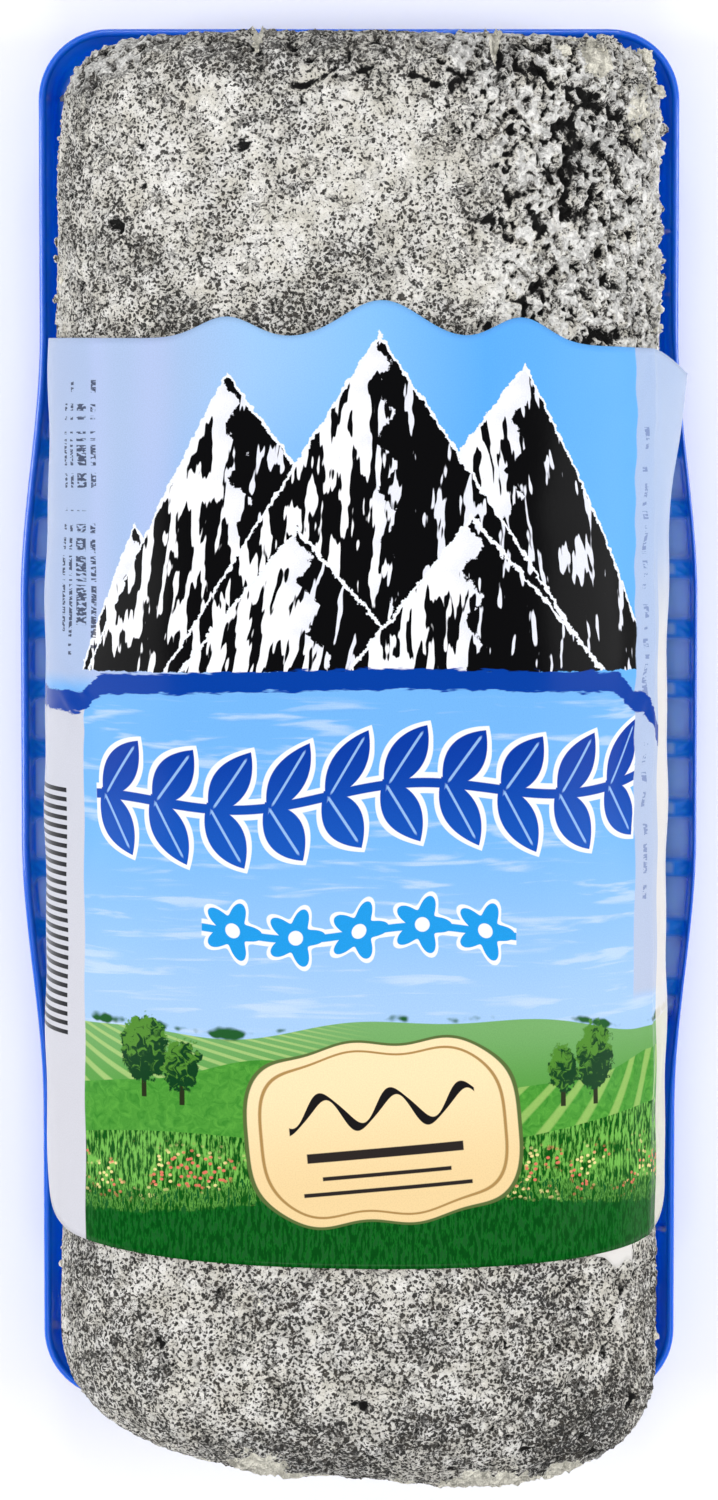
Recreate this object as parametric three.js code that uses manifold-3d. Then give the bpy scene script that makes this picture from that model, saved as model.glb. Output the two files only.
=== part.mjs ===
// A one-kilogram ash-coated goat cheese log in its blue retail tray, with a printed paper band over it.
// Millimetres. X is across the log, +Y is its flat far end and +Z is up from the tray's underside.
import * as THREE from 'three';
import { mergeVertices } from 'three/addons/utils/BufferGeometryUtils.js';
import Module from 'manifold-3d';

const wasm = await Module();
wasm.setup();

// Driving dimensions
const overallLength = 198;
const logWidth = 81;
const logHeight = 71;
const logLength = 192;
const logRoundness = 3;
const logBase = 3.5;
const farEdgeRadius = 9;
const farEdgeRoundness = 2.4;
const nearDomeDepth = 18;
const nearDomeRoundness = 2.6;
const nearLean = 2.5;
const nearSkew = 2.8;
const leanStart = -20;
const unevenness = 0.22;
const waves = [
  { along: 0.085, round: 2, start: 0 },
  { along: 0.14, round: -3, start: 1.1 },
];
const tornCorner = { depth: 2.6, x: 34, fromEnd: 6, wide: 9, long: 11, fadeHeight: 20 };

const trayLength = 195.6;
const trayEndWidth = 90.6;
const trayMiddleWidth = 96.4;
const trayHeight = 14;
const trayCornerRadius = 10;
const trayFloor = 1.6;
const bulgeFlat = 17;
const bulgeEnd = 55;
const ribCount = 10;
const ribPitch = 8.6;
const ribWidth = 2.8;
const ribTop = 3.2;
const ribRampTop = 10.5;
const ribRampLength = 3.4;
const ribRampEase = 0.6;
const ribSink = 0.4;
const ribBite = 0.35;
const wallInsetAtFloor = 2.3;

const bandThickness = 0.35;
const bandGap = 0.6;
const bandLooseLeft = 1.25;
const bandLooseRight = 0.45;
const bandNearEdge = -66.5;
const bandFarEdge = 53.9;
const bandTurn = 0.016;
const bandReachLeft = 78;
const bandReachRight = 71;
const bandBow = 0.0035;
const bandCornerStart = 45;
const bandCornerRadius = 36;
const flareReach = 3.2;
const flareLength = 32;
const flareStart = 48;
const flareLift = 0.5;
const peaks = [
  { at: -17, rise: 2.9, spread: 5 },
  { at: 3, rise: 5.3, spread: 7.2 },
  { at: 21, rise: 3.4, spread: 5 },
];

const halfBox = overallLength / 2;
const halfLog = logLength / 2;
const logMiddle = logBase + logHeight / 2;
const trayMiddleY = halfBox - trayLength / 2;

function smoothstep(from, to, value) {
  const t = THREE.MathUtils.clamp((value - from) / (to - from), 0, 1);
  return t * t * (3 - 2 * t);
}

// A point on a superellipse at an angle from its top, where round is its exponent.
function superellipsePoint(angle, halfWidth, halfHeight, round) {
  const s = Math.sin(angle);
  const c = Math.cos(angle);
  const x = halfWidth * Math.sign(s) * Math.abs(s) ** (2 / round);
  const z = halfHeight * Math.sign(c) * Math.abs(c) ** (2 / round);
  return new THREE.Vector2(x, z);
}

// The superellipse as a list of fine steps with the distance walked from its top.
function walkSuperellipse(halfWidth, halfHeight, round, side) {
  const fineSteps = 2400;
  const points = [];
  let walked = 0;
  for (let i = 0; i <= fineSteps; i += 1) {
    const point = superellipsePoint((side * Math.PI * i) / fineSteps, halfWidth, halfHeight, round);
    if (i > 0) {
      walked += point.distanceTo(points[i - 1].point);
    }
    points.push({ point, walked });
  }
  return points;
}

function pointAtDistance(walk, distance) {
  let low = 0;
  let high = walk.length - 1;
  while (high - low > 1) {
    const middle = (low + high) >> 1;
    if (walk[middle].walked <= distance) {
      low = middle;
    } else {
      high = middle;
    }
  }
  const span = walk[high].walked - walk[low].walked;
  const t = span > 0 ? (distance - walk[low].walked) / span : 0;
  return walk[low].point.clone().lerp(walk[high].point, t);
}

// A closed body from rings of points, all of one length, with a fan over each end.
function loftRings(rings) {
  const count = rings[0].length;
  const positions = [];
  const indices = [];
  for (const ring of rings) {
    for (const point of ring) {
      positions.push(point.x, point.y, point.z);
    }
  }
  for (let r = 0; r < rings.length - 1; r += 1) {
    for (let i = 0; i < count; i += 1) {
      const a = r * count + i;
      const b = r * count + ((i + 1) % count);
      indices.push(a, b, b + count, a, b + count, a + count);
    }
  }
  for (const [r, flip] of [[0, true], [rings.length - 1, false]]) {
    const centre = new THREE.Vector3();
    rings[r].forEach((point) => centre.addScaledVector(point, 1 / count));
    const hub = positions.length / 3;
    positions.push(centre.x, centre.y, centre.z);
    for (let i = 0; i < count; i += 1) {
      const a = r * count + i;
      const b = r * count + ((i + 1) % count);
      indices.push(...(flip ? [b, a, hub] : [a, b, hub]));
    }
  }
  const geometry = new THREE.BufferGeometry();
  geometry.setAttribute('position', new THREE.Float32BufferAttribute(positions, 3));
  geometry.setIndex(indices);
  return geometry;
}

function toSolid(geometry) {
  const bare = geometry.clone();
  bare.deleteAttribute('normal');
  bare.deleteAttribute('uv');
  const merged = mergeVertices(bare, 1e-4);
  const vertProperties = new Float32Array(merged.getAttribute('position').array);
  const triVerts = new Uint32Array(merged.getIndex().array);
  return new wasm.Manifold(new wasm.Mesh({ numProp: 3, vertProperties, triVerts }));
}

function toGeometry(solid) {
  const { vertProperties, triVerts } = solid.getMesh();
  const geometry = new THREE.BufferGeometry();
  geometry.setAttribute('position', new THREE.BufferAttribute(vertProperties, 3));
  geometry.setIndex(new THREE.BufferAttribute(triVerts, 1));
  geometry.computeVertexNormals();
  return geometry;
}

// The cheese

// How far a ring of the log draws in from the full section, at a distance from an end.
function drawnIn(distance, depth, round) {
  const t = Math.max(0, 1 - distance / depth);
  return 1 - (1 - t ** round) ** (1 / round);
}

function logRing(y, segments) {
  const farLoss = drawnIn(halfLog - y, farEdgeRadius, farEdgeRoundness) * farEdgeRadius;
  const nearShare = 1 - drawnIn(y + halfLog, nearDomeDepth, nearDomeRoundness);
  const halfWidth = (logWidth / 2) * nearShare - farLoss;
  const halfHeight = (logHeight / 2) * nearShare - farLoss;
  const walk = walkSuperellipse(halfWidth, halfHeight, logRoundness, 1);
  const half = walk[walk.length - 1].walked;
  const towardsNear = smoothstep(leanStart, -halfLog, y);
  const ring = [];
  for (let i = 0; i < segments; i += 1) {
    const share = (2 * i) / segments;
    const right = share <= 1;
    const spot = pointAtDistance(walk, (right ? share : 2 - share) * half);
    const x = right ? spot.x : -spot.x;
    const z = spot.y;
    const angle = Math.atan2(x, z);
    const wave = waves.reduce((sum, w) => sum + Math.sin(w.along * y + w.round * angle + w.start), 0);
    const across = (x - tornCorner.x) / tornCorner.wide;
    const lengthwise = (y - halfLog + tornCorner.fromEnd) / tornCorner.long;
    const torn = tornCorner.depth * Math.exp(-(across ** 2 + lengthwise ** 2))
      * smoothstep(0, tornCorner.fadeHeight, z);
    const scale = 1 + (unevenness * wave * nearShare) / logHeight - torn / Math.hypot(x, z);
    const lean = (nearLean * z) / (logHeight / 2) + (nearSkew * x) / (logWidth / 2);
    ring.push(new THREE.Vector3(x * scale, y - lean * towardsNear, z * scale));
  }
  return ring;
}

function makeLog() {
  const segments = 60;
  const stations = [];
  const endSteps = 8;
  for (let i = 0; i <= endSteps; i += 1) {
    stations.push(-halfLog + nearDomeDepth * (0.01 + 0.99 * (i / endSteps) ** 2));
  }
  const bodySteps = 14;
  const bodyStart = -halfLog + nearDomeDepth;
  const bodyEnd = halfLog - farEdgeRadius;
  for (let i = 1; i <= bodySteps; i += 1) {
    stations.push(THREE.MathUtils.lerp(bodyStart, bodyEnd, i / bodySteps));
  }
  for (let i = endSteps - 1; i >= 0; i -= 1) {
    stations.push(halfLog - farEdgeRadius * (i / endSteps) ** 2);
  }
  const rings = stations.map((y) => logRing(y, segments));
  const geometry = loftRings(rings);
  geometry.computeBoundingBox();
  const { min } = geometry.boundingBox;
  geometry.translate(0, -halfBox - min.y, logBase - min.z);
  geometry.computeVertexNormals();
  return geometry;
}

// The printed band

function bandFarEdgeAt(s) {
  let edge = bandFarEdge - bandTurn * s;
  for (const peak of peaks) {
    edge += peak.rise * Math.exp(-(((s - peak.at) / peak.spread) ** 2));
  }
  return edge;
}

function bandNearEdgeAt(s) {
  const past = Math.max(0, Math.abs(s) - bandCornerStart);
  const corner = bandCornerRadius - Math.sqrt(bandCornerRadius ** 2 - past ** 2);
  return bandNearEdge + bandBow * s * s + corner - bandTurn * s;
}

// A spot on one face of the band, by the distance s round the log from its crest.
function bandSpot(walks, s, y, out) {
  const walk = s < 0 ? walks.left : walks.right;
  const spot = pointAtDistance(walk, Math.abs(s));
  const before = pointAtDistance(walk, Math.max(0, Math.abs(s) - 0.2));
  const after = pointAtDistance(walk, Math.abs(s) + 0.2);
  const along = after.sub(before).normalize();
  const side = Math.sign(s) || 1;
  const normal = new THREE.Vector2(-along.y * side, along.x * side);
  const flare = flareReach * smoothstep(flareStart, bandReachRight, s)
    * smoothstep(bandFarEdge - flareLength, bandFarEdge, y);
  const x = spot.x + normal.x * out + flare;
  const z = logMiddle + spot.y + normal.y * out + flareLift * flare;
  return new THREE.Vector3(x, y, z);
}

function makeBand() {
  const columns = 66;
  const rows = 9;
  const high = logHeight / 2 + bandGap;
  const walks = {
    left: walkSuperellipse(logWidth / 2 + bandGap + bandLooseLeft, high, logRoundness, -1),
    right: walkSuperellipse(logWidth / 2 + bandGap + bandLooseRight, high, logRoundness, 1),
  };
  const rings = [];
  for (let i = 0; i <= columns; i += 1) {
    const s = THREE.MathUtils.lerp(-bandReachLeft, bandReachRight, i / columns);
    const ring = [];
    for (let j = 0; j <= rows; j += 1) {
      const y = THREE.MathUtils.lerp(bandNearEdgeAt(s), bandFarEdgeAt(s), j / rows);
      ring.push(bandSpot(walks, s, y, 0));
    }
    for (let j = rows; j >= 0; j -= 1) {
      const y = THREE.MathUtils.lerp(bandNearEdgeAt(s), bandFarEdgeAt(s), j / rows);
      ring.push(bandSpot(walks, s, y, bandThickness));
    }
    rings.push(ring);
  }
  const geometry = loftRings(rings);
  geometry.computeVertexNormals();
  return geometry;
}

// The tray

function bulgeAt(y) {
  const extra = (trayMiddleWidth - trayEndWidth) / trayEndWidth;
  return 1 + extra * smoothstep(bulgeEnd, bulgeFlat, Math.abs(y));
}

// The tray's outline, drawn in by inset, as a rounded rectangle whose long sides swell in the middle.
function trayOutline(inset, z) {
  const halfWidth = trayEndWidth / 2 - inset;
  const halfLength = trayLength / 2 - inset;
  const radius = Math.max(2, trayCornerRadius - inset);
  const cornerSteps = 7;
  const sideSteps = 22;
  const flat = [];
  const corners = [[1, 1, 0], [-1, 1, 1], [-1, -1, 2], [1, -1, 3]];
  for (const [sx, sy, quarter] of corners) {
    for (let i = 0; i <= cornerSteps; i += 1) {
      const angle = (Math.PI / 2) * (quarter + i / cornerSteps);
      const x = sx * (halfWidth - radius) + radius * Math.cos(angle);
      const y = sy * (halfLength - radius) + radius * Math.sin(angle);
      flat.push([x, y]);
    }
    if (quarter % 2 === 1) {
      const [x, y] = flat[flat.length - 1];
      for (let i = 1; i < sideSteps; i += 1) {
        flat.push([x, THREE.MathUtils.lerp(y, -y, i / sideSteps)]);
      }
    }
  }
  return flat.map(([x, y]) => new THREE.Vector3(x * bulgeAt(y), y, z));
}

// A rib as seen along the log: flat under the cheese, with an end that climbs each wall.
function ribProfile(halfInside) {
  const profile = new THREE.Shape();
  const low = trayFloor - ribSink;
  const end = halfInside + ribBite;
  const ease = halfInside - ribRampEase;
  const rampStart = halfInside - ribRampLength;
  profile.moveTo(-end, low);
  profile.lineTo(end, low);
  profile.lineTo(end, ribRampTop);
  profile.quadraticCurveTo(ease, ribTop, rampStart, ribTop);
  profile.lineTo(-rampStart, ribTop);
  profile.quadraticCurveTo(-ease, ribTop, -end, ribRampTop);
  profile.closePath();
  return profile;
}

function makeRib(y) {
  const halfInside = (trayEndWidth / 2 - wallInsetAtFloor) * bulgeAt(y);
  const geometry = new THREE.ExtrudeGeometry(ribProfile(halfInside), {
    depth: ribWidth,
    curveSegments: 6,
    bevelEnabled: false,
  });
  geometry.rotateX(Math.PI / 2);
  geometry.translate(0, y + ribWidth / 2, 0);
  return geometry;
}

function makeTray() {
  // Each layer is how far the outline draws in, and its height.
  const outside = [
    [4.2, 0], [2.4, 0.35], [1.5, 1.3], [0.7, 12.1], [0, 12.5], [0, 13.6], [0.25, trayHeight],
  ];
  const inside = [
    [3.9, trayFloor], [2.7, 1.95], [wallInsetAtFloor, 2.8], [1.25, 13.4], [0.9, trayHeight + 0.5],
  ];
  const rings = (layers) => layers.map(([inset, z]) => trayOutline(inset, z));
  let solid = toSolid(loftRings(rings(outside)));
  solid = solid.subtract(toSolid(loftRings(rings(inside))));
  for (let i = 0; i < ribCount; i += 1) {
    solid = solid.add(toSolid(makeRib((i - (ribCount - 1) / 2) * ribPitch)));
  }
  const geometry = toGeometry(solid);
  geometry.translate(0, trayMiddleY, 0);
  return geometry;
}

function namedMesh(name, geometry, color, roughness) {
  const mesh = new THREE.Mesh(geometry, new THREE.MeshStandardMaterial({ color, roughness, metalness: 0 }));
  mesh.name = name;
  return mesh;
}

const pack = new THREE.Group();
pack.add(namedMesh('cheese_log', makeLog(), 0xb5b2ab, 0.9));
pack.add(namedMesh('printed_band', makeBand(), 0x8fc4f5, 0.35));
pack.add(namedMesh('tray', makeTray(), 0x0b4fb0, 0.3));

export default pack;
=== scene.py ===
"""Looks of an ash-coated goat cheese log that lies in its ribbed blue tray under a printed paper band.

Laid out as a Blender add-on: sizes and colours are properties, and each piece has its operator.
"""

import math

import bpy
import numpy as np
from bpy.props import FloatProperty, FloatVectorProperty, IntProperty
from mathutils import Euler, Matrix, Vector


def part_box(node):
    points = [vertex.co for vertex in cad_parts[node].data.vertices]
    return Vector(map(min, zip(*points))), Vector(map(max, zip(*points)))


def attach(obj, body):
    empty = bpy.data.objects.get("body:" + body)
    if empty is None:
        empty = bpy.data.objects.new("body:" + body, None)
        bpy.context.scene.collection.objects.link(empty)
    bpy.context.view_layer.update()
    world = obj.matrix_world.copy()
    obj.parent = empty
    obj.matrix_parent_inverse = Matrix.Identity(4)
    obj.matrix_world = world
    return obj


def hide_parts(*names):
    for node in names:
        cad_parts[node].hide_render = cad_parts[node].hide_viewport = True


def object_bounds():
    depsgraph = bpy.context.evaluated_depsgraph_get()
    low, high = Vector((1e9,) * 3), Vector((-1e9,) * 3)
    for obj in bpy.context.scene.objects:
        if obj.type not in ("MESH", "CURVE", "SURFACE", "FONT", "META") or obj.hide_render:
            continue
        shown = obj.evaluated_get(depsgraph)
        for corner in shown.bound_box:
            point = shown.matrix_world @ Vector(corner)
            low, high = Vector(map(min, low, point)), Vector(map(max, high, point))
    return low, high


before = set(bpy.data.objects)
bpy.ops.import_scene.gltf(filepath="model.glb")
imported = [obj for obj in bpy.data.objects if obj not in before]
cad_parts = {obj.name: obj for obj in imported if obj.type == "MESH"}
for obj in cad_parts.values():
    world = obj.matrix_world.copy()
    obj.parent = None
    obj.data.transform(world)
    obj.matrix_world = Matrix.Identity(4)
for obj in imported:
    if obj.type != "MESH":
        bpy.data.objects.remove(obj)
cad_low, cad_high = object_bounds()

bl_info = {
    "name": "Ash-coated cheese log",
    "version": (1, 0, 0),
    "blender": (4, 5, 0),
    "location": "3D View > Sidebar > Cheese",
    "description": "Builds an ash-coated cheese log in its tray, with its printed band, crumbs and studio",
    "category": "Object",
}

MM = 0.001
PRINT_SPAN = 200.0
LAMP_TARGET = (0, 0, 0.03)
FLOOR_SIZE = 6.0
FLOOR_GAP = 0.0001

log_low, log_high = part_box("cheese_log")
tray_low, tray_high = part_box("tray")


# Colours and small helpers


def rgb(red, green, blue):
    """A screen colour from 0 to 255 as the linear numbers that shaders take."""
    parts = []
    for part in (red, green, blue):
        share = part / 255
        parts.append(share / 12.92 if share <= 0.04045 else ((share + 0.055) / 1.055) ** 2.4)
    return (*parts, 1.0)


def ease(low, high, value):
    share = np.clip((value - low) / (high - low), 0, 1)
    return share * share * (3 - 2 * share)


def hill(value, middle, spread):
    """1 at the middle, easing to 0 on both sides of it."""
    return np.exp(-(((value - middle) / spread) ** 2))


class Field:
    """A number or vector on its way through a node tree. Arithmetic on it adds Math nodes."""

    def __init__(self, tree, socket):
        self.tree = tree
        self.socket = socket

    def maths(self, operation, *others):
        return field(self.tree, "ShaderNodeMath", enumerate((self, *others)), operation=operation)

    def least(self, other):
        return self.maths("MINIMUM", other)

    def most(self, other):
        return self.maths("MAXIMUM", other)

    def __add__(self, other):
        return self.maths("ADD", other)

    def __sub__(self, other):
        return self.maths("SUBTRACT", other)

    def __rsub__(self, other):
        return field(self.tree, "ShaderNodeMath", {0: other, 1: self}, operation="SUBTRACT")

    def __mul__(self, other):
        return self.maths("MULTIPLY", other)

    def __truediv__(self, other):
        return self.maths("DIVIDE", other)

    def __neg__(self):
        return self.maths("MULTIPLY", -1.0)

    def __abs__(self):
        return self.maths("ABSOLUTE")

    __radd__ = __add__
    __rmul__ = __mul__


def feed(slot, value):
    """Links a field to a socket, or sets the socket to a plain value."""
    if isinstance(value, Field):
        value.tree.links.new(value.socket, slot)
    else:
        slot.default_value = value


def make(tree, kind, inputs=(), **settings):
    """A new node with its settings, and with its inputs fed by name or by place."""
    node = tree.nodes.new(kind)
    for name, value in settings.items():
        setattr(node, name, value)
    for name, value in dict(inputs).items():
        feed(node.inputs[name], value)
    return node


def field(tree, kind, inputs=(), output=0, **settings):
    """One output of a new node."""
    return Field(tree, make(tree, kind, inputs, **settings).outputs[output])


def ramp(value, low, high, start=0.0, end=1.0):
    """Eases from start to end as the value goes from low to high."""
    inputs = {"Value": value, "From Min": low, "From Max": high, "To Min": start, "To Max": end}
    return field(value.tree, "ShaderNodeMapRange", inputs, "Result", interpolation_type="SMOOTHSTEP")


def inside(distance, edge=0.0, soft=0.12):
    """1 where a distance is under an edge and 0 past it."""
    return ramp(distance, edge + soft / 2, edge - soft / 2)


def vector(tree, *parts):
    return field(tree, "ShaderNodeCombineXYZ", enumerate(parts))


def noise(at, scale, detail=2.0, rough=0.5, twist=0.0, flat=False, output=0):
    """Noise at a place: output 0 is one number, and output 1 is three of them as a vector."""
    inputs = {"Vector": at, "Scale": scale, "Detail": detail, "Roughness": rough, "Distortion": twist}
    space = "2D" if flat else "3D"
    return field(at.tree, "ShaderNodeTexNoise", inputs, output, noise_dimensions=space)


def cells(at, scale, feature="F1", flat=False):
    """The distance from the middle of the nearest cell."""
    settings = {"voronoi_dimensions": "2D" if flat else "3D", "feature": feature}
    return field(at.tree, "ShaderNodeTexVoronoi", {"Vector": at, "Scale": scale}, "Distance", **settings)


def shift(at, offset, amount):
    """Moves a vector along another one's numbers, as a wobble does."""
    inputs = (offset, (amount, amount, amount), at)
    return field(at.tree, "ShaderNodeVectorMath", enumerate(inputs), operation="MULTIPLY_ADD")


def tint(factor, below, above):
    """A colour mixed from two by a factor."""
    return field(factor.tree, "ShaderNodeMix", {0: factor, 6: below, 7: above}, 2, data_type="RGBA")


def colour_ramp(value, stops):
    node = make(value.tree, "ShaderNodeValToRGB", {0: value})
    points = node.color_ramp.elements
    while len(points) < len(stops):
        points.new(0.5)
    for point, (place, colour) in zip(points, stops):
        point.position = place
        point.color = colour
    return Field(value.tree, node.outputs[0])


def new_material(name):
    """An empty node material, with its tree and the place on the object that its textures use."""
    material = bpy.data.materials.new(name)
    material.use_nodes = True
    tree = material.node_tree
    return material, tree, field(tree, "ShaderNodeTexCoord", output="Object")


def shade(material, inputs):
    """Feeds the inputs of the material's shader."""
    for name, value in inputs.items():
        feed(material.node_tree.nodes["Principled BSDF"].inputs[name], value)
    return material


def attribute(tree, name):
    return field(tree, "ShaderNodeAttribute", output="Fac", attribute_name=name)


def bump(height, strength, distance):
    inputs = {"Height": height, "Strength": strength, "Distance": distance}
    return field(height.tree, "ShaderNodeBump", inputs)


def geometry_tree(name, *numbers):
    """An empty geometry node group, with the geometry and the numbers that go into it."""
    tree = bpy.data.node_groups.new(name, "GeometryNodeTree")
    tree.interface.new_socket("Geometry", in_out="INPUT", socket_type="NodeSocketGeometry")
    for title in numbers:
        tree.interface.new_socket(title, in_out="INPUT", socket_type="NodeSocketFloat")
    tree.interface.new_socket("Geometry", in_out="OUTPUT", socket_type="NodeSocketGeometry")
    entry = tree.nodes.new("NodeGroupInput")
    return tree, *(Field(tree, output) for output in entry.outputs if output.name)


def named(tree, name):
    return field(tree, "GeometryNodeInputNamedAttribute", {"Name": name}, data_type="FLOAT")


def push_out(tree, geometry, height):
    """Moves every point of a mesh out along its normal."""
    normal = field(tree, "GeometryNodeInputNormal")
    push = field(tree, "ShaderNodeVectorMath", {0: normal, "Scale": height}, operation="SCALE")
    return field(tree, "GeometryNodeSetPosition", {"Geometry": geometry, "Offset": push})


def end_tree(tree, geometry, material):
    """Ends a geometry node group with one plain mesh that has the material."""
    plain = field(tree, "GeometryNodeRealizeInstances", {0: geometry})
    done = field(tree, "GeometryNodeSetMaterial", {"Geometry": plain, "Material": material})
    make(tree, "NodeGroupOutput", {0: done})
    return tree


def link_new(name, data):
    piece = bpy.data.objects.new(name, data)
    bpy.context.scene.collection.objects.link(piece)
    return piece


def mesh_from(name, points, faces):
    """A smooth-shaded mesh from points in millimetres."""
    mesh = bpy.data.meshes.new(name)
    mesh.from_pydata((np.asarray(points) * MM).tolist(), [], faces)
    mesh.validate()
    mesh.shade_smooth()
    return mesh


def add_layers(mesh, layers):
    """Keeps one number for each point under each name."""
    for name, values in layers.items():
        layer = mesh.attributes.new(name, "FLOAT", "POINT")
        layer.data.foreach_set("value", values.astype(np.float32))


def ring_faces(rings, count, closed=True):
    """Quads between rings of points that lie one after the other."""
    grid = np.arange(rings * count).reshape(rings, count)
    along = np.roll(grid, -1, axis=1) if closed else grid[:, 1:]
    here = grid if closed else grid[:, :-1]
    quads = np.stack([here[:-1], along[:-1], along[1:], here[1:]], axis=-1)
    return quads.reshape(-1, 4).tolist()


def with_hubs(rings):
    """The points of the rings in a row, and then the middles of the first and the last ring."""
    hubs = [rings[0].mean(axis=0), rings[-1].mean(axis=0)]
    return np.concatenate([rings.reshape(-1, 3), hubs])


def ringed_piece(name, rings, points, layers):
    """A closed piece over rings, whose two ends are fans about the hubs after the rings' points."""
    ring_count, count = rings.shape[:2]
    first_hub, last_hub = len(points) - 2, len(points) - 1
    here = np.arange(count)
    beside = (here + 1) % count
    last_ring = (ring_count - 1) * count
    faces = ring_faces(ring_count, count)
    faces += np.stack([beside, here, np.full(count, first_hub)], axis=1).tolist()
    faces += np.stack([last_ring + here, last_ring + beside, np.full(count, last_hub)], axis=1).tolist()
    mesh = mesh_from(name, points, faces)
    add_layers(mesh, layers)
    return link_new(name, mesh)


def make_plain(piece):
    """Turns the piece's mesh with its modifiers applied into its own plain mesh."""
    graph = bpy.context.evaluated_depsgraph_get()
    graph.update()
    done = bpy.data.meshes.new_from_object(piece.evaluated_get(graph), depsgraph=graph)
    piece.modifiers.clear()
    piece.data = done


def add_nodes(piece, tree, values):
    """Runs a node group on a piece, with its inputs set by their socket identifiers."""
    modifier = piece.modifiers.new(tree.name, "NODES")
    modifier.node_group = tree
    for socket in tree.interface.items_tree:
        if socket.in_out == "INPUT" and socket.name in values:
            modifier[socket.identifier] = values[socket.name]


def finish_piece(piece, slot, *replaced):
    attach(piece, "root")
    if replaced:
        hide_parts(*replaced)


# Shapes that the log and its band share


def walk_section(half_width, half_height, round_, steps=3000):
    """Half a superellipse from its top, as x, z and the distance walked."""
    angle = np.linspace(0, math.pi, steps)
    x = half_width * np.abs(np.sin(angle)) ** (2 / round_)
    z = half_height * np.sign(np.cos(angle)) * np.abs(np.cos(angle)) ** (2 / round_)
    walked = np.concatenate([[0], np.cumsum(np.hypot(np.diff(x), np.diff(z)))])
    return x, z, walked


def drawn_in(distance, depth, round_):
    share = np.clip(1 - distance / depth, 0, 1)
    return 1 - (1 - share ** round_) ** (1 / round_)


def log_middle_z():
    return (log_low.z + log_high.z) / 2 / MM


# Properties


def number(name, description, default, **more):
    return FloatProperty(name=name, description=description, default=default, **more)


def colour_of(name, description, default):
    shape = {"subtype": "COLOR", "size": 4, "min": 0, "max": 1}
    return FloatVectorProperty(name=name, description=description, default=default, **shape)


class CheeseLogSettings(bpy.types.PropertyGroup):
    width: number("Width", "Across the log, mm", 81.0, min=20)
    height: number("Height", "Height of the log, mm", 71.0, min=20)
    length: number("Length", "End to end, mm", 192.0, min=40)
    roundness: number("Section exponent", "2 is an ellipse, more is squarer", 3.0)
    edge_radius: number("Far edge radius", "Rounding of the flat far end, mm", 9.0)
    dome: number("Near dome", "Depth of the domed near end, mm", 18.0)
    lump: number("Lumps", "Height of the broad unevenness, mm", 0.55)
    crag: number("Crags", "Depth of the broken right-hand side, mm", 2.0)
    pit: number("Pits", "Depth of the small pits, mm", 0.5)
    seed: IntProperty(name="Seed", description="Seed of the uneven surface", default=7)
    torn: number("Torn", "Unevenness of the crumbs, in parts of their size", 0.9)
    curd: colour_of("Curd", "Colour of the bare cheese", rgb(255, 251, 236))


class PrintedBandSettings(bpy.types.PropertyGroup):
    thickness: number("Thickness", "Of the coated paper, mm", 0.16)
    gap: number("Gap", "Between the log and the paper, mm", 0.6)
    loose_left: number("Loose left", "How far the left side stands off, mm", 1.25)
    loose_right: number("Loose right", "How far the right side stands off, mm", 0.45)
    reach_left: number("Reach left", "From the crest to the left end, mm", 78.0)
    reach_right: number("Reach right", "From the crest to the right end, mm", 71.0)
    near_edge: number("Near edge", "Where the near edge crosses the crest, mm", -66.5)
    far_edge: number("Far edge", "Where the far edge crosses the crest, mm", 53.9)
    wrinkle: number("Wrinkles", "Height of the soft buckles, mm", 0.28)


class TraySettings(bpy.types.PropertyGroup):
    end_width: number("End width", "Across the ends, mm", 90.6)
    middle_width: number("Middle width", "Across the swell, mm", 96.4)
    length: number("Length", "End to end, mm", 195.6)
    height: number("Height", "Of the rim, mm", 14.0)
    corner: number("Corner radius", "In plan, mm", 10.0)
    ribs: IntProperty(name="Ribs", description="Ribs across the middle", default=10, min=0)
    pitch: number("Rib pitch", "Centre to centre, mm", 8.6)
    blue: colour_of("Plastic", "Colour of the tray", rgb(0, 92, 216))


class StudioSettings(bpy.types.PropertyGroup):
    camera_height: number("Camera height", "Above the floor", 0.67, unit="LENGTH")
    camera_y: number("Camera place", "Along the log", 0.0425, unit="LENGTH")
    camera_tilt: number("Tilt", "From straight down", math.radians(3.968), subtype="ANGLE")
    lens: number("Lens", "Focal length in mm on a 36 mm frame", 110.7)
    side_power: number("Side lamps", "Watts of each side softbox", 5.3)
    top_power: number("Top lamp", "Watts of the overhead softbox", 9.3)
    end_power: number("End lamps", "Watts of the softboxes past each end", 4.5)


# The cheese


def ring_shares(count):
    """Places round half a ring, close together on the part that shows and further apart below."""
    return np.concatenate([np.linspace(0, 0.56, count, endpoint=False), np.linspace(0.56, 1, 30)])


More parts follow.
